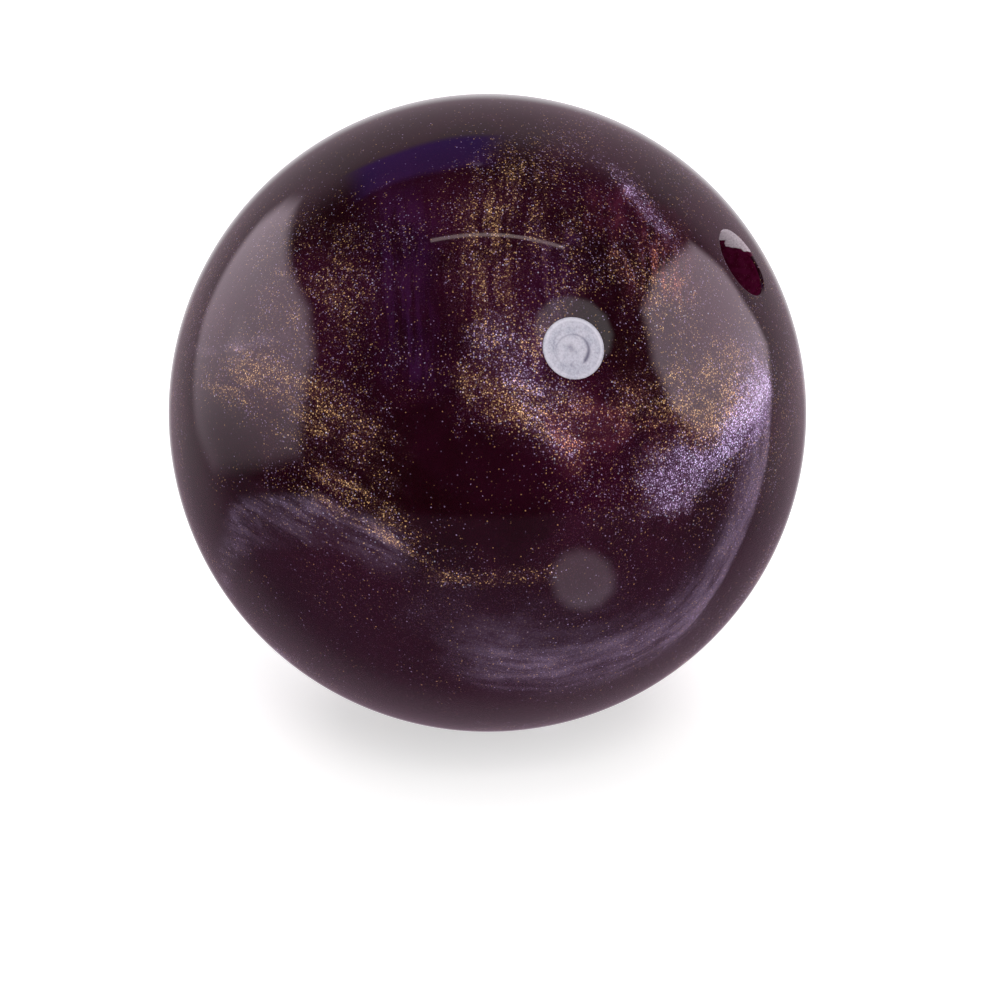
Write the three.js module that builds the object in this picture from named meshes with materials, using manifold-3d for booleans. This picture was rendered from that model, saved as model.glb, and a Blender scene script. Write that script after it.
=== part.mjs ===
import * as THREE from "three";
import { mergeVertices } from "three/addons/utils/BufferGeometryUtils.js";
import Module from "manifold-3d";

// Ten-pin bowling ball, millimetres, +Z up, origin at the centre of the ball.
// Directions on the ball are an azimuth and an elevation in degrees.
// Azimuth 0 looks out along -Y and azimuth 90 looks out along +X.

// Ball and its layers
const BALL_RADIUS = 108.5;
const REST_FACE_RADIUS = 10;
const COVER_THICKNESS = 25;
const FIT_GAP = 0.3;

// Pin: the round plug over the top of the weight block
const PIN_AZIMUTH = 16.3;
const PIN_ELEVATION = 30;
const PIN_RADIUS = 9.7;

// Weight block: a light bulb turned about the axis of the pin
const CORE_TOP = 64;
const CORE_TOP_RADIUS = 16;
const CORE_BULB_RADIUS = 49;
const CORE_BULB_HEIGHT = 22;
const CORE_WAIST_RADIUS = 31;
const CORE_WAIST_HEIGHT = -24;
const CORE_FOOT_RADIUS = 40;
const CORE_FOOT_HEIGHT = -46;
const CORE_BOTTOM = -58;
const CORE_BOTTOM_RADIUS = 28;

// Thumb hole: a bare bore with a bevelled mouth
const THUMB_AZIMUTH = 70.2;
const THUMB_ELEVATION = 35.6;
const THUMB_RADIUS = 11.6;
const THUMB_DEPTH = 70;
const THUMB_BEVEL = 0.9;
const THUMB_BEVEL_DEPTH = 1.6;

// Two finger holes, side by side and parallel, each lined with a vinyl insert
const GRIP_AZIMUTH = 175.8;
const GRIP_ELEVATION = 47;
const FINGER_SPACING = 31.4;
const FINGER_RADIUS = 12.6;
const FINGER_DEPTH = 60;
const INSERT_BORE = 9.8;
const INSERT_LENGTH = 34;
const INSERT_BEVEL = 1.2;

const SEGMENTS = 60;
const RINGS = 28;
const INNER_SEGMENTS = 36;
const INNER_RINGS = 16;
const CAVITY_POLE_RADIUS = 10;
const BORE_SEGMENTS = 32;
const CORE_SEGMENTS = 32;
const CORE_STEPS = 18;

const wasm = await Module();
wasm.setup();

// A unit vector out of the ball from an azimuth and an elevation.
function direction(azimuth, elevation) {
  const a = THREE.MathUtils.degToRad(azimuth);
  const e = THREE.MathUtils.degToRad(elevation);
  return new THREE.Vector3(Math.sin(a) * Math.cos(e), -Math.cos(a) * Math.cos(e), Math.sin(e));
}

// A geometry as a closed solid that booleans can use.
function solid(geometry) {
  const bare = geometry.clone();
  bare.deleteAttribute("normal");
  bare.deleteAttribute("uv");
  const merged = mergeVertices(bare, 1e-4);
  return new wasm.Manifold(
    new wasm.Mesh({
      numProp: 3,
      vertProperties: Float32Array.from(merged.attributes.position.array),
      triVerts: Uint32Array.from(merged.index.array),
    }),
  );
}

// A closed solid as a geometry with flat facets.
function geometryOf(body) {
  const mesh = body.getMesh();
  const geometry = new THREE.BufferGeometry();
  geometry.setAttribute("position", new THREE.BufferAttribute(mesh.vertProperties, 3));
  geometry.setIndex(new THREE.BufferAttribute(mesh.triVerts, 1));
  geometry.computeVertexNormals();
  return geometry;
}

// A profile of radius and height turned about Z.
function turned(profile, segments) {
  const points = profile.map(([r, z]) => new THREE.Vector2(r, z));
  const geometry = new THREE.LatheGeometry(points, segments);
  geometry.rotateX(Math.PI / 2);
  return geometry;
}

// A turned solid stood on a direction out of the ball, its Z running outward, then shifted.
function along(profile, segments, outward, shift = new THREE.Vector3()) {
  const geometry = turned(profile, segments);
  const up = new THREE.Vector3(0, 0, 1);
  geometry.applyQuaternion(new THREE.Quaternion().setFromUnitVectors(up, outward));
  geometry.translate(shift.x, shift.y, shift.z);
  return solid(geometry);
}

// A ball with a flat facet at each pole.
function ball(radius, poleRadius, segments, rings) {
  const start = Math.asin(poleRadius / radius);
  const profile = [[0, -radius * Math.cos(start)]];
  for (let i = 0; i <= rings; i += 1) {
    const polar = start + ((Math.PI - 2 * start) * i) / rings;
    profile.push([radius * Math.sin(polar), -radius * Math.cos(polar)]);
  }
  profile.push([0, radius * Math.cos(start)]);
  return solid(turned(profile, segments));
}

// The height of the ball's surface over a line that runs beside its centre.
function surfaceHeight(shift) {
  return Math.sqrt(BALL_RADIUS * BALL_RADIUS - shift.lengthSq());
}

// A round hole from a depth below the surface out past it, with a bevelled mouth.
function hole(radius, depth, bevel, bevelDepth, outward, shift = new THREE.Vector3()) {
  const top = surfaceHeight(shift);
  const flare = bevel / bevelDepth;
  const profile = [
    [0, top - depth],
    [radius, top - depth],
    [radius, top - bevelDepth],
    [radius + bevel + flare * 6, top + 6],
    [0, top + 6],
  ];
  return along(profile, BORE_SEGMENTS, outward, shift);
}

// The outline of the weight block, larger all round by a clearance.
function coreProfile(clearance) {
  const c = clearance;
  const profile = [[0, CORE_BOTTOM - c]];
  profile.push([CORE_BOTTOM_RADIUS + c / 2, CORE_BOTTOM - c]);
  const spline = new THREE.CatmullRomCurve3([
    new THREE.Vector3(CORE_FOOT_RADIUS - 1.5 + c, CORE_FOOT_HEIGHT - 6, 0),
    new THREE.Vector3(CORE_FOOT_RADIUS + c, CORE_FOOT_HEIGHT, 0),
    new THREE.Vector3(CORE_WAIST_RADIUS + 4 + c, (CORE_FOOT_HEIGHT + CORE_WAIST_HEIGHT) / 2, 0),
    new THREE.Vector3(CORE_WAIST_RADIUS + c, CORE_WAIST_HEIGHT, 0),
    new THREE.Vector3(CORE_WAIST_RADIUS + 7 + c, -4, 0),
    new THREE.Vector3(CORE_BULB_RADIUS + c, CORE_BULB_HEIGHT, 0),
    new THREE.Vector3(CORE_BULB_RADIUS - 8 + c, CORE_BULB_HEIGHT + 22, 0),
    new THREE.Vector3(CORE_TOP_RADIUS + c, CORE_TOP + c, 0),
  ]);
  for (const p of spline.getPoints(CORE_STEPS)) {
    profile.push([p.x, p.y]);
  }
  profile.push([0, CORE_TOP + c]);
  return profile;
}

const pinAxis = direction(PIN_AZIMUTH, PIN_ELEVATION);
const thumbAxis = direction(THUMB_AZIMUTH, THUMB_ELEVATION);
const gripAxis = direction(GRIP_AZIMUTH, GRIP_ELEVATION);

// The fingers stand side by side across the line from the thumb.
const sideways = thumbAxis.clone().cross(gripAxis).normalize();
const leftFinger = sideways.clone().multiplyScalar(-FINGER_SPACING / 2);
const rightFinger = sideways.clone().multiplyScalar(FINGER_SPACING / 2);

const wholeBall = ball(BALL_RADIUS, REST_FACE_RADIUS, SEGMENTS, RINGS);
const cavityRadius = BALL_RADIUS - COVER_THICKNESS;

const thumbHole = hole(THUMB_RADIUS, THUMB_DEPTH, THUMB_BEVEL, THUMB_BEVEL_DEPTH, thumbAxis);
const leftHole = hole(FINGER_RADIUS, FINGER_DEPTH, 0, 1, gripAxis, leftFinger);
const rightHole = hole(FINGER_RADIUS, FINGER_DEPTH, 0, 1, gripAxis, rightFinger);
const pinHoleRadius = PIN_RADIUS + FIT_GAP;
const pinHole = along(
  [
    [0, CORE_TOP - 1],
    [pinHoleRadius, CORE_TOP - 1],
    [pinHoleRadius, BALL_RADIUS + 4],
    [0, BALL_RADIUS + 4],
  ],
  BORE_SEGMENTS,
  pinAxis,
);

// Coverstock: the outer shell, opened by the pin hole and the three drilled holes.
let coverstock = wholeBall.subtract(ball(cavityRadius, CAVITY_POLE_RADIUS, INNER_SEGMENTS, INNER_RINGS));
coverstock = coverstock.subtract(thumbHole).subtract(leftHole).subtract(rightHole);
coverstock = coverstock.subtract(pinHole);

// Weight block: cut only where the drilling meets it.
const weightBlock = along(coreProfile(0), CORE_SEGMENTS, pinAxis).subtract(thumbHole);

// Outer core: fills the room between the weight block and the coverstock.
let outerCore = ball(cavityRadius - FIT_GAP, CAVITY_POLE_RADIUS, INNER_SEGMENTS, INNER_RINGS);
outerCore = outerCore.subtract(along(coreProfile(FIT_GAP), CORE_SEGMENTS, pinAxis));
outerCore = outerCore.subtract(thumbHole).subtract(leftHole).subtract(rightHole);
outerCore = outerCore.subtract(pinHole);

// Pin: a round plug from the weight block to the surface, its face rounded with the ball.
const pin = along(
  [
    [0, CORE_TOP + FIT_GAP],
    [PIN_RADIUS, CORE_TOP + FIT_GAP],
    [PIN_RADIUS, BALL_RADIUS + 4],
    [0, BALL_RADIUS + 4],
  ],
  BORE_SEGMENTS,
  pinAxis,
).intersect(wholeBall);

// Finger insert: a soft tube flush with the surface, bevelled inside its mouth.
function fingerInsert(shift) {
  const outer = FINGER_RADIUS - FIT_GAP;
  const top = surfaceHeight(shift);
  const tube = along(
    [
      [INSERT_BORE, top - INSERT_LENGTH],
      [outer, top - INSERT_LENGTH],
      [outer, top + 6],
      [INSERT_BORE, top + 6],
      [INSERT_BORE, top - INSERT_LENGTH],
    ],
    BORE_SEGMENTS,
    gripAxis,
    shift,
  );
  const mouth = along(
    [
      [0, top - INSERT_BEVEL - INSERT_BORE],
      [INSERT_BORE + INSERT_BEVEL + 6, top + 6],
      [0, top + 6],
    ],
    BORE_SEGMENTS,
    gripAxis,
    shift,
  );
  return tube.subtract(mouth).intersect(wholeBall);
}

const group = new THREE.Group();
group.name = "bowling_ball";

function add(name, body, color, roughness) {
  const material = new THREE.MeshStandardMaterial({ color, roughness, metalness: 0 });
  const mesh = new THREE.Mesh(geometryOf(body), material);
  mesh.name = name;
  group.add(mesh);
}

add("coverstock", coverstock, 0x3a1428, 0.12);
add("outer_core", outerCore, 0x8c7a5e, 0.7);
add("weight_block", weightBlock, 0x5a5e66, 0.6);
add("pin", pin, 0xc9c6d6, 0.2);
add("finger_insert_left", fingerInsert(leftFinger), 0x20202a, 0.5);
add("finger_insert_right", fingerInsert(rightFinger), 0x20202a, 0.5);

export default group;
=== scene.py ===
import math

import bmesh
import bpy
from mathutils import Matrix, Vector

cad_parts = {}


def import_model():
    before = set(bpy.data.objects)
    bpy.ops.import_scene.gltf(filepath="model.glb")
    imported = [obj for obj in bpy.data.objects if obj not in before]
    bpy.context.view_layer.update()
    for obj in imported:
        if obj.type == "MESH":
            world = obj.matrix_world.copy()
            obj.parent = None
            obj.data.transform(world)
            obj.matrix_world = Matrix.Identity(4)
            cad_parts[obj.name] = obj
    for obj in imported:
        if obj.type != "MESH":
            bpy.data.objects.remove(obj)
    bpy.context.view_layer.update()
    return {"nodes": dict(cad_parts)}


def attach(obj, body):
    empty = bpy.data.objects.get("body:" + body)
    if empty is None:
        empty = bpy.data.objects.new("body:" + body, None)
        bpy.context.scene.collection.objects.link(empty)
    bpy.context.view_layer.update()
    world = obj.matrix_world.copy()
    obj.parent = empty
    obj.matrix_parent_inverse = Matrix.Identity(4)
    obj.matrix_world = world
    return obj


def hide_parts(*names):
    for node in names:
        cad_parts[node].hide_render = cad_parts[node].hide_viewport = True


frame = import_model()

MM = 0.001
R = 108.5 * MM
COVER = 25.0 * MM
CAVITY = R - COVER
BALL_POINTS = 26000
CAVITY_POINTS = 5000


def ray(azimuth, elevation):
    """A unit vector; azimuth 0 is -Y, azimuth 90 is +X."""
    a, e = math.radians(azimuth), math.radians(elevation)
    return Vector((math.sin(a) * math.cos(e), -math.cos(a) * math.cos(e), math.sin(e)))


# ---------------------------------------------------------------- where things are
PIN = ray(16.3, 30.0)
THUMB = ray(70.2, 35.6)
GRIP = ray(175.8, 47.0)
SIDEWAYS = THUMB.cross(GRIP).normalized()
SPACING = 31.4 * MM
PIN_RADIUS = 9.7 * MM
PIN_BOTTOM = 64.4 * MM
THUMB_RADIUS = 11.6 * MM
FINGER_RADIUS = 12.36 * MM
INSERT_BORE = 9.8 * MM
INSERT_LENGTH = 34.0 * MM

# the palm side of the thumb hole: toward the finger holes, its edge eased by hand
PALMWARD = (GRIP - THUMB * GRIP.dot(THUMB)).normalized()
PALM_EASE = 0.45 * MM
PALM_EASE_DEPTH = 5.0 * MM

# ---------------------------------------------------------------- camera
LENS = 100.0
SENSOR = 36.0
ELEVATION = 20.0
DISTANCE = 0.9512
AIM_RIGHT = 4.18 * MM
AIM_DOWN = 29.45 * MM
back = ray(0.0, ELEVATION)
right = Vector((1.0, 0.0, 0.0))
up = back.cross(right)
cam_data = bpy.data.cameras.new("camera")
cam_data.lens = LENS
cam_data.sensor_width = SENSOR
cam_data.clip_start = 0.05
cam_data.clip_end = 60.0
camera = bpy.data.objects.new("camera", cam_data)
bpy.context.scene.collection.objects.link(camera)
camera.location = back * DISTANCE
target = right * AIM_RIGHT - up * AIM_DOWN
camera.rotation_mode = "QUATERNION"
camera.rotation_quaternion = (target - camera.location).to_track_quat("-Z", "Y")
bpy.context.scene.camera = camera
bpy.context.scene.view_settings.view_transform = "Standard"
bpy.context.scene.view_settings.look = "None"


# ---------------------------------------------------------------- mesh helpers
def basis(axis):
    side = axis.cross(Vector((0.0, 0.0, 1.0))).normalized()
    return side, axis.cross(side).normalized()


def ring_points(axis, shift, radius, count, height):
    """A round of points about a line; radius and height may vary round it."""
    u, v = basis(axis)
    out = []
    for i in range(count):
        t = 2.0 * math.pi * i / count
        outward = u * math.cos(t) + v * math.sin(t)
        across = shift + outward * (radius(outward) if callable(radius) else radius)
        out.append(across + axis * height(across, outward))
    return out


def on_ball(radius, drop=0.0):
    def height(across, outward):
        low = drop(outward) if callable(drop) else drop
        return math.sqrt(radius * radius - across.length_squared) - low
    return height


def holed_ball(radius, holes, spread, guard):
    """A ball of near-equal triangles with round openings. Returns points, faces and each opening's rim."""
    points, rims = [], []
    for axis, shift, hole, widest, rings, count in holes:
        for k, grow in enumerate(rings):
            at = len(points)
            wide = (lambda outward, g=grow: hole(outward) + g) if callable(hole) else hole + grow
            points += ring_points(axis, shift, wide, count, on_ball(radius))
            if k == 0:
                rims.append(list(range(at, at + count)))
    golden = math.pi * (1.0 + 5.0**0.5)
    for i in range(spread):
        z = 1.0 - (2.0 * i + 1.0) / spread
        s = math.sqrt(1.0 - z * z)
        p = Vector((s * math.cos(golden * i), s * math.sin(golden * i), z)) * radius
        clear = True
        for axis, shift, hole, widest, rings, count in holes:
            along = p.dot(axis)
            if along > 0.0 and (p - axis * along - shift).length < widest + rings[-1] + guard:
                clear = False
                break
        if clear:
            points.append(p)
    bm = bmesh.new()
    for p in points:
        bm.verts.new(p)
    bm.verts.index_update()
    bmesh.ops.convex_hull(bm, input=bm.verts)
    owner = {}
    for n, rim in enumerate(rims):
        for i in rim:
            owner[i] = n
    faces = []
    for f in bm.faces:
        ids = [v.index for v in f.verts]
        own = {owner.get(i) for i in ids}
        if len(own) == 1 and None not in own:
            continue
        faces.append(ids)
    bm.free()
    return points, faces, rims


def make_object(name, points, faces, materials, face_material=None, radial=None):
    mesh = bpy.data.meshes.new(name)
    mesh.from_pydata([tuple(p) for p in points], [], faces)
    bm = bmesh.new()
    bm.from_mesh(mesh)
    bmesh.ops.recalc_face_normals(bm, faces=bm.faces)
    bm.to_mesh(mesh)
    bm.free()
    for m in materials:
        mesh.materials.append(m)
    if face_material:
        mesh.polygons.foreach_set("material_index", face_material)
    mesh.polygons.foreach_set("use_smooth", [True] * len(mesh.polygons))
    mesh.update()
    if radial:
        normals = [p.normalized() if keep else Vector((0.0, 0.0, 0.0)) for p, keep in zip(points, radial)]
        mesh.normals_split_custom_set_from_vertices([tuple(n) for n in normals])
    obj = bpy.data.objects.new(name, mesh)
    bpy.context.scene.collection.objects.link(obj)
    return obj


def bridge(faces, low, high):
    n = len(low)
    for i in range(n):
        j = (i + 1) % n
        faces.append([low[i], low[j], high[j], high[i]])


# ---------------------------------------------------------------- shader helpers
class Nodes:
    """Short names for the nodes of one material."""

    def __init__(self, tree):
        self.tree = tree

    def add(self, kind, **values):
        node = self.tree.nodes.new(kind)
        for key, value in values.items():
            setattr(node, key, value)
        return node

    def plug(self, socket, value):
        if isinstance(value, bpy.types.NodeSocket):
            self.tree.links.new(value, socket)
        elif value is not None:
            socket.default_value = value

    def math(self, operation, a, b=None, c=None, clamp=False):
        node = self.add("ShaderNodeMath", operation=operation, use_clamp=clamp)
        for socket, value in zip(node.inputs, (a, b, c)):
            self.plug(socket, value)
        return node.outputs[0]

    def mul(self, *terms):
        out = terms[0]
        for t in terms[1:]:
            out = self.math("MULTIPLY", out, t)
        return out

    def sum(self, *terms):
        out = terms[0]
        for t in terms[1:]:
            out = self.math("ADD", out, t)
        return out

    def most(self, *terms):
        out = terms[0]
        for t in terms[1:]:
            out = self.math("MAXIMUM", out, t)
        return out

    def vector(self, operation, a, b=None, scale=None):
        node = self.add("ShaderNodeVectorMath", operation=operation)
        self.plug(node.inputs[0], a)
        if b is not None:
            self.plug(node.inputs[1], b)
        if scale is not None:
            self.plug(node.inputs["Scale"], scale)
        return node.outputs["Value" if operation in ("DOT_PRODUCT", "LENGTH") else "Vector"]

    def dot(self, a, direction):
        return self.vector("DOT_PRODUCT", a, tuple(direction))

    def step(self, value, low, high, out_low=0.0, out_high=1.0):
        """A soft step from out_low at low to out_high at high."""
        node = self.add("ShaderNodeMapRange", interpolation_type="SMOOTHSTEP")
        if low > high:
            low, high, out_low, out_high = high, low, out_high, out_low
        for key, v in (("Value", value), ("From Min", low), ("From Max", high),
                       ("To Min", out_low), ("To Max", out_high)):
            self.plug(node.inputs[key], v)
        return node.outputs["Result"]

    def noise(self, where, scale, detail=2.0, rough=0.5, color=False, distortion=0.0):
        node = self.add("ShaderNodeTexNoise", noise_dimensions="3D")
        self.plug(node.inputs["Vector"], where)
        node.inputs["Scale"].default_value = scale
        node.inputs["Detail"].default_value = detail
        node.inputs["Roughness"].default_value = rough
        node.inputs["Distortion"].default_value = distortion
        return node.outputs["Color" if color else "Fac"]

    def mix(self, factor, a, b):
        node = self.add("ShaderNodeMix", data_type="RGBA", blend_type="MIX", clamp_factor=True)
        self.plug(node.inputs[0], factor)
        self.plug(node.inputs[6], a)
        self.plug(node.inputs[7], b)
        return node.outputs[2]

    def tint(self, factor, a, b):
        node = self.add("ShaderNodeMix", data_type="RGBA", blend_type="ADD")
        self.plug(node.inputs[0], factor)
        self.plug(node.inputs[6], a)
        self.plug(node.inputs[7], b)
        return node.outputs[2]


def new_material(name):
    m = bpy.data.materials.new(name)
    m.use_nodes = True
    g = Nodes(m.node_tree)
    shader = m.node_tree.nodes["Principled BSDF"]
    return m, g, shader


def rgb(r, g, b):
    return (r, g, b, 1.0)


# ---------------------------------------------------------------- pearl shell
DUST = 0.34 * MM
SPECK = 0.45 * MM
STAR = 0.68 * MM


def pearl_material():
    m, g, shader = new_material("pearl_shell")
    place = g.add("ShaderNodeTexCoord").outputs["Object"]
    unit = g.vector("SCALE", place, scale=1.0 / R)

    # slow wander that makes every streak run like poured resin
    drift = g.vector("SUBTRACT", g.noise(unit, 2.1, 3.0, 0.55, color=True), (0.5, 0.5, 0.5))
    ripple = g.vector("SUBTRACT", g.noise(unit, 9.0, 4.0, 0.6, color=True), (0.5, 0.5, 0.5))
    bent = g.vector("ADD", unit, g.vector("SCALE", drift, scale=0.14))
    bent = g.vector("ADD", bent, g.vector("SCALE", ripple, scale=0.07))
    smooth = g.vector("ADD", unit, g.vector("SCALE", drift, scale=0.05))
    smooth = g.vector("ADD", smooth, g.vector("SCALE", ripple, scale=0.024))

    def about(ends):
        p, q, s = (ray(*at) for at in ends)
        return (q - p).cross(s - p).normalized()

    def streak(ends, inner, outer, curl=smooth, tail=1.2):
        """A soft band through three places on the ball, thinning out at both ends."""
        p, q, s = (ray(*at) for at in ends)
        axis = about(ends)
        off = g.math("SUBTRACT", g.dot(curl, axis), axis.dot(q))
        middle = (p + s + q * 0.4).normalized()
        reach = max(middle.angle(p), middle.angle(s))
        across = g.mul(g.step(off, outer, 0.0), g.step(off, -inner, 0.0))
        along = g.step(g.dot(curl, middle), math.cos(reach * tail), math.cos(reach * 0.62))
        return g.mul(across, along)

    def threads(axis, seed, fine=36.0, low=0.38, high=0.62, floor=0.12):
        """Fine strands that run in rounds about an axis."""
        stretched = g.vector("SCALE", tuple(axis), scale=g.mul(g.dot(smooth, axis), fine))
        where = g.vector("ADD", g.vector("SCALE", smooth, scale=4.2), stretched)
        where = g.vector("ADD", where, (seed, seed * 0.6, seed * 1.7))
        return g.step(g.noise(where, 1.0, 6.0, 0.66), low, high, floor, 1.0)

    run_low = threads(ray(10.0, 15.0), 2.0, 36.0, 0.34, 0.64, 0.38)
    run_left = threads(about([(-32.5, 4.3), (-19.4, -0.4), (-10.1, -5.2)]), 5.0, 36.0, 0.38, 0.62, 0.22)
    run_top = threads(Vector((1.0, 0.0, 0.0)), 9.0, 30.0)
    run_mid = threads(about([(19.7, 16.1), (35.3, 15.3), (54.1, 19.5)]), 13.0, 26.0, 0.30, 0.62, 0.35)

    # Each streak is three places it runs through: azimuth and elevation from the ball's centre, in degrees.
    # ---- gold
    top_gold = g.most(
        g.mul(streak([(9.7, 70.6), (4.8, 49.5), (5.5, 31.7)], 0.24, 0.26, bent), 0.75),
        g.mul(streak([(29.4, 47.9), (39.1, 37.0), (43.5, 25.5)], 0.20, 0.22, bent), 0.75),
    )
    left_gold = g.most(
        g.mul(streak([(-62.1, 14.6), (-41.4, 19.1), (-23.5, 13.9)], 0.10, 0.13), 0.85),
        g.mul(streak([(-34.3, 18.8), (-22.6, 14.1), (-13.3, 5.1)], 0.08, 0.09, smooth, 1.0), 0.66),
        g.mul(streak([(-32.5, 4.3), (-19.4, -0.4), (-10.1, -5.2)], 0.022, 0.026), 0.8),
        g.mul(streak([(-30.7, 8.1), (-18.5, 3.7), (-11.2, -2.6)], 0.030, 0.035), 0.8),
        g.mul(streak([(-11.0, -7.6), (-1.0, -8.2), (12.3, -6.9)], 0.040, 0.035), 0.6),
        g.mul(streak([(-56.0, 45.7), (-37.1, 37.4), (-27.8, 26.6)], 0.16, 0.20, bent), 0.65),
    )
    mid_gold = g.most(
        g.mul(streak([(-1.1, 22.8), (9.2, 18.5), (21.3, 14.2)], 0.11, 0.13, bent), 1.15),
        g.mul(streak([(19.7, 16.1), (35.3, 15.3), (54.1, 19.5)], 0.12, 0.20, bent, 1.05), 0.80),
    )
    gold = g.most(g.mul(top_gold, run_top), g.mul(left_gold, run_left), g.mul(mid_gold, run_mid))

    # ---- lavender
    low_lavender = g.most(
        g.mul(streak([(60.6, 22.3), (51.5, -4.7), (35.3, -31.4)], 0.16, 0.030), 1.7),
        g.mul(streak([(60.6, 22.3), (51.5, -4.7), (35.3, -31.4)], 0.050, 0.022), 2.1),
        g.mul(streak([(-6.0, -22.2), (18.6, -27.2), (42.9, -17.4)], 0.18, 0.13, bent), 1.0),
        g.mul(streak([(-14.6, -11.5), (2.4, -17.9), (21.6, -12.5)], 0.08, 0.08, bent), 0.12),
    )
    left_lavender = g.most(
        g.mul(streak([(-50.8, -7.4), (-34.6, 0.8), (-14.2, -3.4)], 0.050, 0.028), 1.15),
        g.mul(streak([(-40.9, -1.3), (-49.1, -8.7), (-61.6, -24.0)], 0.06, 0.05), 0.60),
        g.mul(streak([(-70.6, 18.1), (-53.8, 23.7), (-39.9, 28.0)], 0.02, 0.04), 0.55),
    )
    bright_lavender = g.most(
        g.mul(streak([(23.2, 4.0), (40.0, 7.4), (57.0, 17.8)], 0.066, 0.085, bent, 1.2), 1.75),
        g.mul(streak([(53.3, 66.8), (47.1, 54.1), (45.2, 43.6)], 0.07, 0.09, bent), 0.95),
        g.mul(streak([(2.0, 32.0), (6.5, 24.5), (13.5, 15.0)], 0.09, 0.11, bent), 0.58),
    )
    silk = g.most(g.mul(low_lavender, run_low), g.mul(left_lavender, run_left))
    lavender = g.mul(bright_lavender, run_mid)

    # ---- violet and red undertones
    violet = g.most(
        streak([(-27.6, 61.4), (-19.7, 43.1), (-12.9, 26.4)], 0.16, 0.16, bent),
        g.mul(streak([(18.9, 48.9), (13.7, 39.9), (11.5, 33.2)], 0.10, 0.10, bent), 0.9),
    )
    violet = g.mul(violet, run_top)
    red = g.most(
        g.mul(streak([(38.0, 60.3), (38.9, 44.7), (43.1, 34.5)], 0.16, 0.20, bent), run_top),
        g.mul(streak([(12.6, 16.7), (23.1, 14.0), (35.1, 13.6)], 0.14, 0.12, bent), g.mul(run_mid, 0.7)),
    )

    # ---- the same kinds of streak all round the rest of the ball
    folds = g.noise(unit, 1.6, 2.0, 0.5, color=True)
    folded = g.vector("ADD", unit, g.vector("SCALE", folds, scale=0.9))
    swirl_a = g.noise(g.vector("MULTIPLY", folded, (1.0, 1.7, 3.4)), 1.9, 6.0, 0.62, distortion=0.6)
    swirl_b = g.noise(g.vector("ADD", folded, (3.1, 0.4, 5.2)), 2.4, 6.0, 0.60, distortion=0.8)
    away = g.step(g.dot(unit, ray(0.0, ELEVATION)), 0.05, 0.40, 1.0, 0.0)
    gold = g.most(gold, g.mul(g.step(swirl_a, 0.46, 0.66), away, 0.9))
    lavender = g.most(lavender, g.mul(g.step(swirl_b, 0.50, 0.64), away, 1.0))

    # ---- clouds that break the streaks up
    cloud = g.step(g.noise(bent, 7.0, 6.0, 0.65), 0.34, 0.62, 0.35, 1.0)
    gold = g.mul(gold, cloud)
    lavender = g.mul(lavender, g.math("MULTIPLY_ADD", cloud, 0.6, 0.4))
    silk = g.mul(silk, g.math("MULTIPLY_ADD", cloud, 0.7, 0.3))

    # ---- still, dark resin with hardly a flake in it
    def still(at, size):
        a = math.radians(size)
        return g.step(g.dot(bent, ray(*at)), math.cos(a), math.cos(a * 0.45))

    dark = g.most(still((-13.0, 8.0), 13.0), still((0.0, 5.0), 15.0), g.mul(still((-53.0, 1.0), 14.0), 0.8),
                  g.mul(still((-20.0, 31.0), 12.0), 0.5), g.mul(still((29.0, 27.0), 10.0), 0.7),
                  g.mul(still((-75.0, 68.0), 34.0), 0.9), g.mul(still((20.0, 88.0), 18.0), 0.9))
    calm = g.math("SUBTRACT", 1.0, g.mul(dark, 0.82))
    gold = g.mul(gold, g.math("SUBTRACT", 1.0, g.mul(dark, 0.45)))

    # base resin
    depth = g.step(g.noise(bent, 2.6, 5.0, 0.6), 0.34, 0.66)
    depth = g.mul(depth, g.math("SUBTRACT", 1.0, g.mul(dark, 0.5)))
    color = g.mix(depth, rgb(0.0080, 0.0, 0.0014), rgb(0.024, 0.0018, 0.0100))
    # painted shade: toward the bottom of the ball the base resin is pulled to one flatter, darker tone,
    # standing in for less light from above
    low = g.step(g.dot(unit, (0.0, 0.0, 1.0)), 0.10, -0.30)
    color = g.mix(g.mul(low, 0.75), color, rgb(0.0135, 0.0012, 0.0066))
    color = g.tint(g.mul(violet, 0.9), color, rgb(0.012, 0.003, 0.022))
    color = g.tint(g.mul(red, 0.9), color, rgb(0.040, 0.007, 0.014))
    color = g.tint(lavender, color, rgb(0.036, 0.019, 0.036))
    color = g.tint(silk, color, rgb(0.072, 0.058, 0.092))
    color = g.tint(gold, color, rgb(0.022, 0.009, 0.007))

    # flakes
    def flakes(size, density, radius, power, seed):
        """Specks, one to a cell: how bright each is, and a random number for its colour. The specks are real
        flakes; the random spread of their brightness is painted glint, standing in for how each flake
        catches the light.
        """
        node = g.add("ShaderNodeTexVoronoi", voronoi_dimensions="3D", feature="F1")
        g.plug(node.inputs["Vector"], g.vector("ADD", place, (seed, seed * 0.7, seed * 1.3)))
        node.inputs["Scale"].default_value = 1.0 / size
        parts = g.add("ShaderNodeSeparateColor")
        g.plug(parts.inputs[0], node.outputs["Color"])
        shape = g.step(node.outputs["Distance"], radius, radius * 0.5)
        there = g.step(g.math("SUBTRACT", density, parts.outputs[0]), 0.0, 0.05)
        return g.mul(shape, there, g.math("POWER", parts.outputs[1], power)), parts.outputs[2]

    rich = g.sum(gold, lavender)
    lean = g.math("MULTIPLY_ADD", g.math("SUBTRACT", gold, lavender), 0.75, 0.50)
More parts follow.
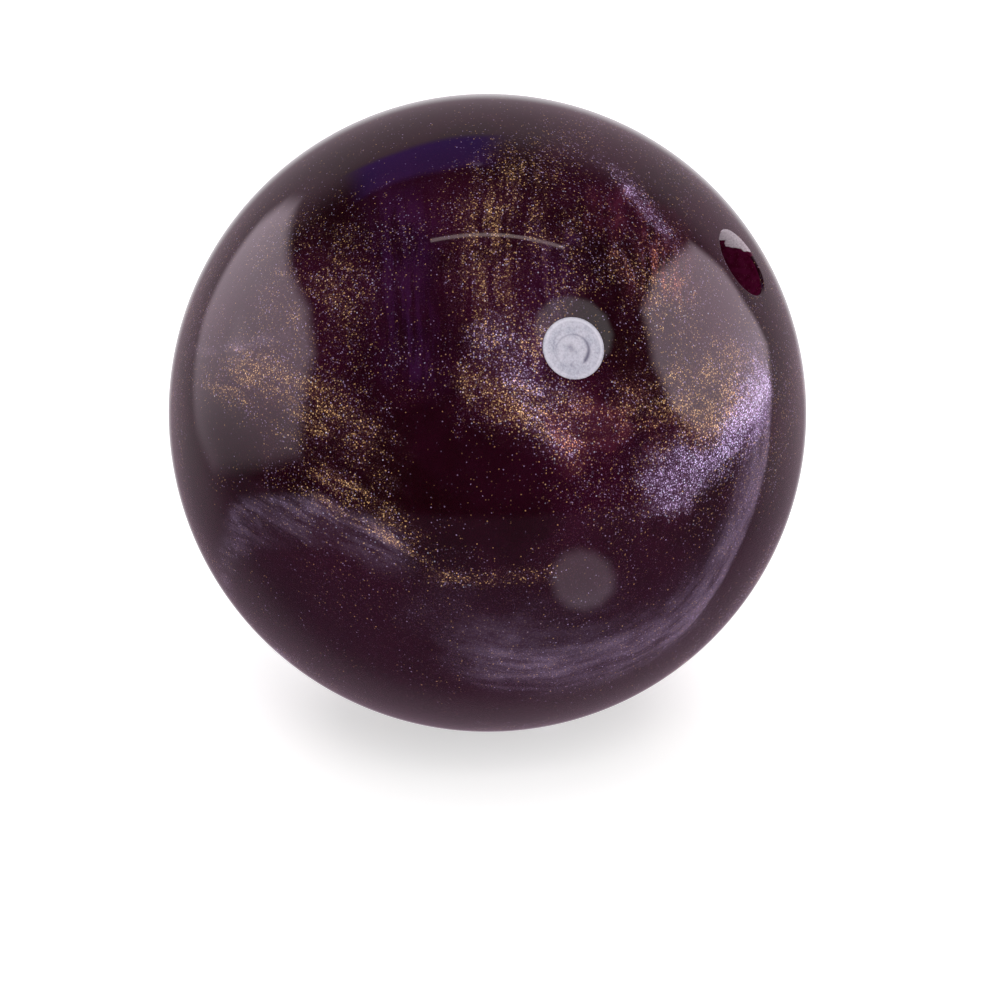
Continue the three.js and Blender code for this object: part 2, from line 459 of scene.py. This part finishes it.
    # painted shade: the loose flakes thin out toward the bottom of the ball, standing in for less light
    # falling there from above
    high = g.step(g.dot(unit, (0.0, 0.0, 1.0)), -0.20, 0.12, 0.22, 1.0)
    patchy = g.step(g.noise(bent, 3.4, 5.0, 0.6), 0.38, 0.60, 0.25, 1.0)
    scatter = g.mul(high, patchy, calm)

    def tone(hue, warm, cool, share):
        return g.mix(g.step(g.math("SUBTRACT", hue, share), -0.04, 0.04), warm, cool)

    dust, hue = flakes(DUST, g.sum(g.mul(rich, 0.6), g.mul(silk, 0.8), 0.42), 0.72, 1.6, 0.0)
    warm = g.mix(red, rgb(0.34, 0.18, 0.13), rgb(0.42, 0.10, 0.12))
    grain = tone(hue, warm, rgb(0.30, 0.20, 0.38), lean)
    shine = g.sum(g.mul(rich, 0.50), g.mul(silk, 0.30), g.mul(calm, 0.075))
    color = g.tint(g.mul(dust, shine), color, grain)

    often = g.sum(g.mul(rich, 0.85), g.mul(silk, 0.15), g.mul(scatter, 0.36))
    specks, hue = flakes(SPECK, often, 0.64, 2.4, 1.37)
    warm = g.mix(g.mul(red, 0.8), rgb(0.84, 0.50, 0.21), rgb(0.90, 0.28, 0.20))
    spark = tone(hue, warm, rgb(0.66, 0.50, 0.86), lean)
    color = g.tint(g.mul(specks, g.math("MULTIPLY_ADD", rich, 0.85, 0.45)), color, spark)

    stars, hue = flakes(STAR, g.sum(g.mul(rich, 0.40), g.mul(scatter, 0.11)), 0.46, 1.7, 4.11)
    star = tone(hue, rgb(0.95, 0.66, 0.34), rgb(0.74, 0.76, 1.0), lean)
    color = g.tint(g.mul(stars, g.math("MULTIPLY_ADD", rich, 0.8, 0.42)), color, star)

    g.plug(shader.inputs["Base Color"], color)
    wear = g.noise(unit, 5.0, 4.0, 0.6)
    g.plug(shader.inputs["Roughness"], g.step(wear, 0.3, 0.7, 0.030, 0.050))
    shader.inputs["IOR"].default_value = 1.5
    return m


def drilled(name, eased):
    """Resin cut by a drill; eased also paints light on the thumb hole's palm side: a pale scalloped band of
    painted light near the rim and three small painted highlights.
    """
    m, g, shader = new_material(name)
    place = g.add("ShaderNodeTexCoord").outputs["Object"]
    mottled = g.noise(place, 420.0, 4.0, 0.6)
    color = g.mix(g.step(mottled, 0.3, 0.7), rgb(0.040, 0.0006, 0.0100), rgb(0.075, 0.004, 0.026))
    specks = g.step(g.noise(place, 2600.0, 1.0), 0.66, 0.74)
    color = g.mix(g.mul(specks, 0.35), color, rgb(0.22, 0.12, 0.12))
    rough = g.step(mottled, 0.3, 0.7, 0.14, 0.24)
    if eased:
        deep = g.dot(place, THUMB)
        across = g.vector("SUBTRACT", place, g.vector("SCALE", tuple(THUMB), scale=deep))
        outward = g.vector("NORMALIZE", across)
        turn = g.math("ARCCOSINE", g.math("MINIMUM", g.dot(outward, PALMWARD), 0.9999))
        share = g.math("SUBTRACT", 1.0, g.math("POWER", g.math("DIVIDE", turn, math.radians(47.0)), 2.0))
        scallop = g.mul(g.math("SUBTRACT", g.noise(place, 330.0, 1.0), 0.5), 5.5 * MM)
        edge = g.sum(g.mul(share, -PALM_EASE_DEPTH * 0.98), scallop, R - 0.5 * MM)
        # painted light: a pale scalloped band on the palm side of the thumb wall near the rim, standing in
        # for light falling on that part of the wall
        painted_light_band = g.step(g.math("SUBTRACT", deep, edge), -0.35 * MM, 0.35 * MM)
        painted_light_band = g.mul(painted_light_band, g.step(share, 0.0, 0.12))
        u, v = PALMWARD, THUMB.cross(PALMWARD)
        # three small pale spots near the rim: painted highlights
        for height, turned, size in ((102.9, 22.0, 1.3), (107.0, 59.0, 1.1), (107.2, 85.0, 1.1)):
            t = math.radians(turned)
            spot = THUMB * (height * MM) + (u * math.cos(t) + v * math.sin(t)) * THUMB_RADIUS
            gap = g.vector("LENGTH", g.vector("SUBTRACT", place, tuple(spot)))
            painted_light_band = g.most(painted_light_band, g.step(gap, size * MM, size * 0.3 * MM, 0.0, 0.42))
        fine = g.noise(place, 1900.0, 3.0, 0.6)
        pale = g.mix(g.step(fine, 0.35, 0.65), rgb(0.44, 0.36, 0.42), rgb(0.62, 0.55, 0.60))
        color = g.mix(painted_light_band, color, pale)
        rough = g.sum(rough, g.mul(painted_light_band, 0.30))
    g.plug(shader.inputs["Base Color"], color)
    grooves = g.add("ShaderNodeTexWave", wave_type="RINGS", rings_direction="SPHERICAL")
    g.plug(grooves.inputs["Vector"], place)
    grooves.inputs["Scale"].default_value = 900.0
    grooves.inputs["Distortion"].default_value = 1.0
    bump = g.add("ShaderNodeBump")
    bump.inputs["Strength"].default_value = 0.10
    bump.inputs["Distance"].default_value = 0.00005
    g.plug(bump.inputs["Height"], grooves.outputs["Fac"])
    g.plug(shader.inputs["Normal"], bump.outputs["Normal"])
    g.plug(shader.inputs["Roughness"], rough)
    return m


def bore_material():
    return drilled("drilled_wall", False)


def thumb_wall_material():
    return drilled("thumb_wall", True)


# ---------------------------------------------------------------- coverstock
NO_SHIFT = Vector((0.0, 0.0, 0.0))
LEFT = SIDEWAYS * (-SPACING / 2.0)
RIGHT = SIDEWAYS * (SPACING / 2.0)
GROW = [0.0, 0.35 * MM, 0.8 * MM, 1.4 * MM, 2.1 * MM]
HOLES = [
    ("thumb", THUMB, NO_SHIFT, THUMB_RADIUS, 0.95 * MM, 144),
    ("finger", GRIP, LEFT, FINGER_RADIUS, 0.45 * MM, 112),
    ("finger", GRIP, RIGHT, FINGER_RADIUS, 0.45 * MM, 112),
    ("pin", PIN, NO_SHIFT, PIN_RADIUS + 0.05 * MM, 0.06 * MM, 128),
]


def palm_share(outward):
    """1 on the palm side of the thumb hole, where its edge is eased by hand, falling to 0 round it."""
    turn = math.degrees(math.acos(max(-1.0, min(1.0, outward.dot(PALMWARD)))))
    return 0.5 + 0.5 * math.cos(math.radians(180.0 * min(1.0, turn / 62.0)))


def build_coverstock():
    outer, inner, edges = [], [], []
    for kind, axis, shift, radius, lip, count in HOLES:
        if kind == "thumb":
            wide = lambda o, e=lip: e + PALM_EASE * palm_share(o)
            deep = lambda o, e=lip: e + (PALM_EASE_DEPTH - e) * palm_share(o)
        else:
            wide = deep = lambda o, e=lip: e
        edges.append((wide, deep))
        rim = lambda o, r=radius, w=wide: r + w(o)
        outer.append((axis, shift, rim, radius + lip + (PALM_EASE if kind == "thumb" else 0.0), GROW, count))
        inner.append((axis, shift, radius, radius, [0.0, 1.0 * MM], count))
    points, faces, rims = holed_ball(R, outer, BALL_POINTS, 0.9 * MM)
    radial = [True] * len(points)
    kinds = [0] * len(faces)
    offset = len(points)
    more, more_faces, inner_rims = holed_ball(CAVITY, inner, CAVITY_POINTS, 1.5 * MM)
    points += more
    radial += [False] * len(more)
    faces += [[i + offset for i in f] for f in more_faces]
    kinds += [1] * len(more_faces)
    for (kind, axis, shift, radius, lip, count), (wide, deep), rim, low_rim in zip(
        HOLES, edges, rims, inner_rims
    ):
        ring = rim
        steps = 12
        wall = {"thumb": 2, "finger": 1, "pin": 1}[kind]
        for k in range(1, steps + 1):
            t = math.pi / 2.0 * k / steps
            at = lambda o, a=t: radius + wide(o) * (1.0 - math.sin(a))
            drop = lambda o, a=t: deep(o) * (1.0 - math.cos(a))
            base = len(points)
            points += ring_points(axis, shift, at, count, on_ball(R, drop))
            radial += [False] * count
            new = list(range(base, base + count))
            bridge(faces, new, ring)
            u, v = basis(axis)
            for i in range(count):
                turn = 2.0 * math.pi * (i + 0.5) / count
                eased = kind == "thumb" and palm_share(u * math.cos(turn) + v * math.sin(turn)) > 0.08
                kinds.append(2 if eased and k > 2 else 0)
            ring = new
        start = [points[j].copy() for j in ring]
        low = [j + offset for j in low_rim]
        levels = 10
        for k in range(1, levels + 1):
            if k < levels:
                base = len(points)
                points += [start[i].lerp(points[low[i]], k / levels) for i in range(count)]
                radial += [False] * count
                new = list(range(base, base + count))
            else:
                new = low
            before = len(faces)
            bridge(faces, new, ring)
            kinds += [wall] * (len(faces) - before)
            ring = new
    materials = [pearl_material(), bore_material(), thumb_wall_material()]
    obj = make_object("coverstock_pearl", points, faces, materials, kinds, radial)
    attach(obj, "root")
    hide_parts("coverstock")
    return obj


build_coverstock()


# ---------------------------------------------------------------- pin
SWIRL = [(215, 0.62, 0.15), (180, 0.60, 0.30), (150, 0.52, 0.35), (120, 0.46, 0.40), (90, 0.43, 0.45),
         (60, 0.43, 0.50), (30, 0.45, 0.65), (0, 0.48, 0.85), (-30, 0.50, 1.0), (-55, 0.53, 1.0),
         (-72, 0.57, 0.2)]


def swirl_at(theta, rho):
    """How deep the moulding swirl is at an angle in degrees and a share of the pin's radius."""
    if theta > 215.0:
        theta -= 360.0
    if theta < -72.0:
        return 0.0
    for (a0, r0, s0), (a1, r1, s1) in zip(SWIRL, SWIRL[1:]):
        if a1 <= theta <= a0:
            t = (a0 - theta) / (a0 - a1)
            centre, strength = r0 + (r1 - r0) * t, s0 + (s1 - s0) * t
            width = 0.028 + 0.040 * max(0.0, strength - 0.45) / 0.55
            return strength * math.exp(-(((rho - centre) / width) ** 2))
    return 0.0


def pin_material():
    m, g, shader = new_material("pin_resin")
    place = g.add("ShaderNodeTexCoord").outputs["Object"]
    groove = g.add("ShaderNodeAttribute", attribute_name="groove").outputs["Fac"]
    ring = g.add("ShaderNodeAttribute", attribute_name="ring").outputs["Fac"]
    grain = g.noise(place, 1500.0, 3.0, 0.7)
    cloud = g.noise(place, 260.0, 3.0, 0.6)
    color = g.mix(g.step(cloud, 0.30, 0.70), rgb(0.35, 0.35, 0.43), rgb(0.49, 0.47, 0.545))
    color = g.mix(g.step(grain, 0.38, 0.66, 0.0, 0.40), color, rgb(0.66, 0.65, 0.74))
    color = g.mix(g.step(grain, 0.46, 0.30, 0.0, 0.35), color, rgb(0.26, 0.24, 0.34))
    color = g.mix(g.mul(ring, 0.55), color, rgb(0.74, 0.72, 0.80))
    color = g.mix(groove, color, rgb(0.12, 0.11, 0.17))
    g.plug(shader.inputs["Base Color"], color)
    bump = g.add("ShaderNodeBump")
    bump.inputs["Strength"].default_value = 0.25
    bump.inputs["Distance"].default_value = 0.00006
    g.plug(bump.inputs["Height"], grain)
    g.plug(shader.inputs["Normal"], bump.outputs["Normal"])
    g.plug(shader.inputs["Roughness"], g.step(cloud, 0.3, 0.7, 0.16, 0.26))
    return m


def build_pin():
    # right and up across the pin's face, as it lies on the ball
    across_u = (Vector((0.0, 0.0, 1.0)).cross(PIN)).normalized()
    across_v = PIN.cross(across_u).normalized()
    rings, count = 44, 160
    points, groove, lift = [PIN * R], [0.0], [0.0]
    faces, last = [], None
    for k in range(1, rings + 1):
        rho = k / rings
        base = len(points)
        for i in range(count):
            t = 2.0 * math.pi * i / count
            deg = math.degrees(t)
            flat = across_u * math.cos(t) + across_v * math.sin(t)
            x, y = rho * math.cos(t), rho * math.sin(t)
            depth = swirl_at(deg if deg <= 215.0 else deg - 360.0, rho)
            patch = 0.55 * math.exp(-(((x + 0.09) * 0.8 + y * 0.5) ** 2 / 0.010
                                      + ((x + 0.09) * 0.5 - (y + 0.01) * 0.8) ** 2 / 0.022))
            spot = 0.50 * math.exp(-(((x + 0.16) ** 2 + (y + 0.53) ** 2) / 0.0035))
            faint = 0.22 * math.exp(-(((rho - 0.66) / 0.030) ** 2)) * (0.5 - 0.5 * math.cos(t))
            thin = 0.16 * math.exp(-(((rho - 0.85) / 0.014) ** 2)) * (0.5 + 0.5 * math.cos(t - 0.6))
            dark = min(1.0, max(depth, patch, spot, faint, thin))
            bright = math.exp(-(((rho - 0.91) / 0.045) ** 2)) * (0.65 + 0.35 * math.cos(t - 0.9))
            across = flat * (rho * PIN_RADIUS)
            edge = 0.05 * MM * max(0.0, (rho - 0.985) / 0.015)
            height = math.sqrt(R * R - across.length_squared) - 0.07 * MM * depth - edge
            points.append(across + PIN * height)
            groove.append(dark)
            lift.append(bright)
        new = list(range(base, base + count))
        if last is None:
            for i in range(count):
                faces.append([0, new[i], new[(i + 1) % count]])
        else:
            bridge(faces, last, new)
        last = new
    for height in (R - 2.0 * MM, R - 12.0 * MM, PIN_BOTTOM):
        base = len(points)
        points += ring_points_uv(PIN, across_u, across_v, PIN_RADIUS, count, height)
        groove += [0.0] * count
        lift += [0.0] * count
        new = list(range(base, base + count))
        bridge(faces, last, new)
        last = new
    points.append(PIN * PIN_BOTTOM)
    groove.append(0.0)
    lift.append(0.0)
    for i in range(count):
        faces.append([last[i], len(points) - 1, last[(i + 1) % count]])
    obj = make_object("pin_plug", points, faces, [pin_material()])
    for key, values in (("groove", groove), ("ring", lift)):
        data = obj.data.attributes.new(key, "FLOAT", "POINT")
        data.data.foreach_set("value", values)
    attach(obj, "root")
    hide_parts("pin")
    return obj


def ring_points_uv(axis, u, v, radius, count, height):
    out = []
    for i in range(count):
        t = 2.0 * math.pi * i / count
        out.append(u * (radius * math.cos(t)) + v * (radius * math.sin(t)) + axis * height)
    return out


build_pin()


# ---------------------------------------------------------------- finger inserts
def vinyl_material():
    m, g, shader = new_material("insert_vinyl")
    place = g.add("ShaderNodeTexCoord").outputs["Object"]
    grain = g.noise(place, 1800.0, 3.0, 0.6)
    cloud = g.noise(place, 120.0, 3.0, 0.6)
    color = g.mix(g.step(cloud, 0.3, 0.7), rgb(0.010, 0.010, 0.014), rgb(0.026, 0.025, 0.032))
    color = g.mix(g.step(grain, 0.55, 0.75, 0.0, 0.5), color, rgb(0.05, 0.05, 0.06))
    g.plug(shader.inputs["Base Color"], color)
    bump = g.add("ShaderNodeBump")
    bump.inputs["Strength"].default_value = 0.35
    bump.inputs["Distance"].default_value = 0.00008
    g.plug(bump.inputs["Height"], grain)
    g.plug(shader.inputs["Normal"], bump.outputs["Normal"])
    g.plug(shader.inputs["Roughness"], g.step(cloud, 0.3, 0.7, 0.38, 0.52))
    return m


vinyl = vinyl_material()


def build_insert(name, node, shift):
    outer = FINGER_RADIUS - 0.06 * MM
    top = math.sqrt(R * R - shift.length_squared)
    bottom = top - INSERT_LENGTH
    count = 112
    points, faces, loops = [], [], []

    def loop(radius, height):
        base = len(points)
        points.extend(ring_points(GRIP, shift, radius, count, height))
        loops.append(list(range(base, base + count)))

    def level(z):
        return lambda across, outward: z

    for z in (bottom, bottom + 8 * MM, bottom + 20 * MM):
        loop(outer, level(z))
    for k in range(6):
        t = math.pi / 2.0 * k / 5
        edge = 0.5 * MM
        loop(outer - edge * (1.0 - math.cos(t)), on_ball(R, edge * (1.0 - math.sin(t)) + 0.05 * MM))
    for k in range(9):
        t = math.pi / 2.0 * k / 8
        lip = 1.25 * MM
        loop(INSERT_BORE + lip * (1.0 - math.sin(t)), on_ball(R, lip * (1.0 - math.cos(t)) + 0.05 * MM))
    # shallow grip ribs down the soft bore
    rib_low, rib_high = bottom + 3 * MM, top - 5 * MM
    ribs = 24
    for k in range(ribs * 4 + 1):
        z = rib_high + (rib_low - rib_high) * k / (ribs * 4)
        swell = 0.10 * MM * (0.5 - 0.5 * math.cos(2.0 * math.pi * k / 4))
        loop(INSERT_BORE - swell, level(z))
    loop(INSERT_BORE, level(bottom))
    for a, b in zip(loops, loops[1:] + loops[:1]):
        bridge(faces, a, b)
    obj = make_object(name, points, faces, [vinyl])
    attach(obj, "root")
    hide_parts(node)
    return obj


build_insert("insert_sleeve_left", "finger_insert_left", LEFT)
build_insert("insert_sleeve_right", "finger_insert_right", RIGHT)


# ---------------------------------------------------------------- sealed inner pieces
def cast_material(name, dark, light, fleck):
    m, g, shader = new_material(name)
    place = g.add("ShaderNodeTexCoord").outputs["Object"]
    cloud = g.noise(place, 60.0, 4.0, 0.6)
    grain = g.noise(place, 1400.0, 3.0, 0.7)
    color = g.mix(g.step(cloud, 0.3, 0.7), rgb(*dark), rgb(*light))
    color = g.mix(g.step(grain, 0.60, 0.72, 0.0, 0.7), color, rgb(*fleck))
    g.plug(shader.inputs["Base Color"], color)
    bump = g.add("ShaderNodeBump")
    bump.inputs["Strength"].default_value = 0.4
    bump.inputs["Distance"].default_value = 0.0001
    g.plug(bump.inputs["Height"], grain)
    g.plug(shader.inputs["Normal"], bump.outputs["Normal"])
    g.plug(shader.inputs["Roughness"], g.step(cloud, 0.3, 0.7, 0.5, 0.7))
    return m


def paint(node, material):
    mesh = frame["nodes"][node].data
    mesh.materials.clear()
    mesh.materials.append(material)


paint("outer_core", cast_material("filler", (0.20, 0.16, 0.11), (0.34, 0.28, 0.20), (0.6, 0.55, 0.46)))
paint("weight_block", cast_material("dense_core", (0.07, 0.08, 0.10), (0.13, 0.14, 0.17), (0.3, 0.3, 0.34)))


# ---------------------------------------------------------------- studio
def glow_material(name, color, strength, attribute=None):
    m = bpy.data.materials.new(name)
    m.use_nodes = True
    tree = m.node_tree
    tree.nodes.clear()
    g = Nodes(tree)
    out = g.add("ShaderNodeOutputMaterial")
    glow = g.add("ShaderNodeEmission")
    glow.inputs["Color"].default_value = rgb(*color)
    glow.inputs["Strength"].default_value = strength
    g.plug(out.inputs["Surface"], glow.outputs[0])
    if attribute:
        level = g.add("ShaderNodeAttribute", attribute_name=attribute).outputs["Fac"]
        mix = g.add("ShaderNodeMixShader")
        g.plug(mix.inputs[0], level)
        g.plug(mix.inputs[1], g.add("ShaderNodeBsdfTransparent").outputs[0])
        g.plug(mix.inputs[2], glow.outputs[0])
        g.plug(out.inputs["Surface"], mix.outputs[0])
    m.cycles.emission_sampling = "NONE"
    return m


def only_reflected(obj):
    obj.visible_camera = False
    obj.visible_diffuse = False
    obj.visible_shadow = False
    obj.visible_transmission = False
    obj.visible_volume_scatter = False


PANEL_DISTANCE = 3.0


def places(*pairs):
    """Directions from azimuths and elevations in degrees."""
    return [ray(*pair) for pair in pairs]


def oval(azimuth, elevation, half_long, half_short, tilt, count=12):
    """Directions round an oval, its half sizes in degrees; its long way is tilted up from the horizontal."""
    middle = ray(azimuth, elevation)
    across = Vector((0.0, 0.0, 1.0)).cross(middle).normalized()
    upward = middle.cross(across)
    t = math.radians(tilt)
    long_way = across * math.cos(t) + upward * math.sin(t)
    short_way = upward * math.cos(t) - across * math.sin(t)
    out = []
    for i in range(count):
        turn = 2.0 * math.pi * i / count
        x = math.tan(math.radians(half_long)) * math.cos(turn)
        y = math.tan(math.radians(half_short)) * math.sin(turn)
        out.append((middle + long_way * x + short_way * y).normalized())
    return out


def panel(name, corners, color, strength, soft=0.10, fade=None):
    """A studio panel with soft edges, seen only as a reflection; fade dims it toward its foot."""
    rim = [corner * PANEL_DISTANCE for corner in corners]
    middle = sum(rim, Vector()) / len(rim)
    n = len(rim)
    points, level = [middle], [1.0]
    shares = [0.25, 0.5, 0.7]
    shares += [1.0 + soft * k for k in (-1.0, -0.67, -0.33, 0.0, 0.33, 0.67, 1.0)]
    heights = [1.0, 1.0, 1.0, 1.0, 0.93, 0.74, 0.5, 0.26, 0.07, 0.0]
    for share, height in zip(shares, heights):
        fresh = [middle.lerp(p, share) for p in rim]
        points += fresh
        for p in fresh:
            rise = math.degrees(math.asin(p.normalized().z))
            dim = 1.0 if not fade else max(0.25, min(1.0, (rise - fade[0]) / (fade[1] - fade[0])))
            level.append(height * dim)
    faces = [[0, 1 + i, 1 + (i + 1) % n] for i in range(n)]
    for k in range(len(shares) - 1):
        for i in range(n):
            j = (i + 1) % n
            low, high = 1 + k * n, 1 + (k + 1) * n
            faces.append([low + i, low + j, high + j, high + i])
    mesh = bpy.data.meshes.new(name)
    mesh.from_pydata([tuple(p) for p in points], [], faces)
    data = mesh.attributes.new("level", "FLOAT", "POINT")
    data.data.foreach_set("value", level)
    mesh.materials.append(glow_material(name, color, strength, "level"))
    obj = bpy.data.objects.new(name, mesh)
    bpy.context.scene.collection.objects.link(obj)
    only_reflected(obj)
    return obj


WALL_LEFT = places((-138, 27), (-108, 32), (-86, 33), (-72, 25), (-68, 9), (-67, -4),
                   (-88, -13), (-111, -18), (-122, -13), (-134, 0), (-142, 15), (-142, 21))
WALL_RIGHT = places((122, 29), (123, 19), (122, 11), (124, 1), (117, -6), (96, -6),
                    (78, -3), (68, 10), (67, 24), (76, 38), (95, 40))
HIGH_WINDOW = places((-145, 39), (-156, 44), (-173, 46), (-182, 47),
                     (-181, 64), (-156, 63), (-140, 57), (-129, 50))
panel("wall_left", WALL_LEFT, (1.0, 0.80, 0.92), 2.2, 0.13, (-24.0, 22.0))
panel("wall_right", WALL_RIGHT, (1.0, 0.79, 0.91), 2.4, 0.10, (-30.0, 10.0))
panel("blue_panel", HIGH_WINDOW, (0.22, 0.13, 0.66), 0.8, 0.26)
panel("lamp", oval(40.6, 43.0, 13.3, 12.0, -20.0), (1.0, 0.97, 1.0), 1.1)
panel("lamp_mirrored", oval(37.3, -40.0, 13.1, 8.5, -49.0), (1.0, 0.76, 0.92), 1.25, 0.25)


def tube(name, course, half, color, strength):
    """A thin strip light along a course of directions."""
    points, faces = [], []
    rays = [direction * PANEL_DISTANCE for direction in course]
    for i, p in enumerate(rays):
        a = rays[max(0, i - 1)]
        b = rays[min(len(rays) - 1, i + 1)]
        side = (b - a).cross(p).normalized() * half
        points += [p - side, p + side]
    for i in range(len(rays) - 1):
        faces.append([2 * i, 2 * i + 1, 2 * i + 3, 2 * i + 2])
    mesh = bpy.data.meshes.new(name)
    mesh.from_pydata([tuple(p) for p in points], [], faces)
    mesh.materials.append(glow_material(name, color, strength))
    obj = bpy.data.objects.new(name, mesh)
    bpy.context.scene.collection.objects.link(obj)
    only_reflected(obj)


OVERHEAD = places((-70, 72.5), (-27, 83), (33, 82.5), (73.5, 66.5))
BACK = places((-150, 50.5), (-162, 56.5), (-177, 64))
tube("strip_overhead", OVERHEAD, 0.035, (1.0, 0.80, 0.78), 2.6)
tube("strip_back", BACK, 0.04, (1.0, 0.75, 0.95), 1.6)


def world():
    """A dim room: a pale table below, a bright haze behind the ball that its rim picks up."""
    w = bpy.data.worlds.new("studio")
    bpy.context.scene.world = w
    w.use_nodes = True
    g = Nodes(w.node_tree)
    shader = w.node_tree.nodes["Background"]
    where = g.add("ShaderNodeTexCoord").outputs["Generated"]
    height = g.dot(where, (0.0, 0.0, 1.0))
    behind = g.dot(where, -ray(0.0, 14.0))
    bright = g.step(behind, math.cos(math.radians(76)), math.cos(math.radians(52)))
    table = g.step(height, -0.24, -0.31)
    color = g.mix(table, rgb(0.030, 0.022, 0.026), rgb(0.155, 0.095, 0.135))
    rim = g.mix(g.step(height, -0.25, -0.55), rgb(0.42, 0.32, 0.37), rgb(0.27, 0.19, 0.24))
    color = g.mix(bright, color, rim)
    edge = g.step(behind, math.cos(math.radians(24)), math.cos(math.radians(10)))
    color = g.mix(edge, color, rgb(0.85, 0.80, 0.84))
    g.plug(shader.inputs["Color"], color)
    shader.inputs["Strength"].default_value = 1.0


world()


def area(name, direction, distance, size, power, color=(1.0, 1.0, 1.0)):
    data = bpy.data.lights.new(name, "AREA")
    data.shape = "SQUARE"
    data.size = size
    data.energy = power
    data.color = color
    obj = bpy.data.objects.new(name, data)
    bpy.context.scene.collection.objects.link(obj)
    obj.location = direction * distance
    obj.rotation_mode = "QUATERNION"
    obj.rotation_quaternion = direction.to_track_quat("Z", "Y")
    obj.visible_glossy = False
    obj.visible_camera = False
    return obj


area("ceiling", Vector((0.0, 0.0, 1.0)), 2.6, 4.5, 75.0)
area("key", ray(12.0, 38.0), 1.7, 1.0, 13.0, (1.0, 0.98, 0.97))
area("fill_back", ray(190.0, 35.0), 1.9, 1.4, 8.0)

floor_mesh = bpy.data.meshes.new("floor")
FLOOR_RADIUS = 6.0
FLOOR_STEPS = 64
floor_points = []
for i in range(FLOOR_STEPS):
    turn = 2.0 * math.pi * i / FLOOR_STEPS
    floor_points.append((FLOOR_RADIUS * math.cos(turn), FLOOR_RADIUS * math.sin(turn), -R - 0.1 * MM))
floor_mesh.from_pydata(floor_points, [], [list(range(FLOOR_STEPS))])
floor = bpy.data.objects.new("floor", floor_mesh)
bpy.context.scene.collection.objects.link(floor)
floor_material, fg, floor_shader = new_material("pale_floor")
floor_shader.inputs["Base Color"].default_value = rgb(0.90, 0.90, 0.90)
floor_shader.inputs["Roughness"].default_value = 0.6
floor_shader.inputs["Specular IOR Level"].default_value = 0.2
floor_shader.inputs["Emission Color"].default_value = rgb(1.0, 1.0, 1.0)
floor_shader.inputs["Emission Strength"].default_value = 0.60
floor_mesh.materials.append(floor_material)
floor.visible_glossy = False

dome_mesh = bpy.data.meshes.new("backdrop")
bm = bmesh.new()
bmesh.ops.create_uvsphere(bm, u_segments=48, v_segments=24, radius=5.9)
bm.to_mesh(dome_mesh)
bm.free()
dome = bpy.data.objects.new("backdrop", dome_mesh)
bpy.context.scene.collection.objects.link(dome)
dome_mesh.materials.append(glow_material("backdrop", (0.93, 0.93, 0.94), 1.0))
dome.visible_diffuse = False
dome.visible_glossy = False
dome.visible_shadow = False
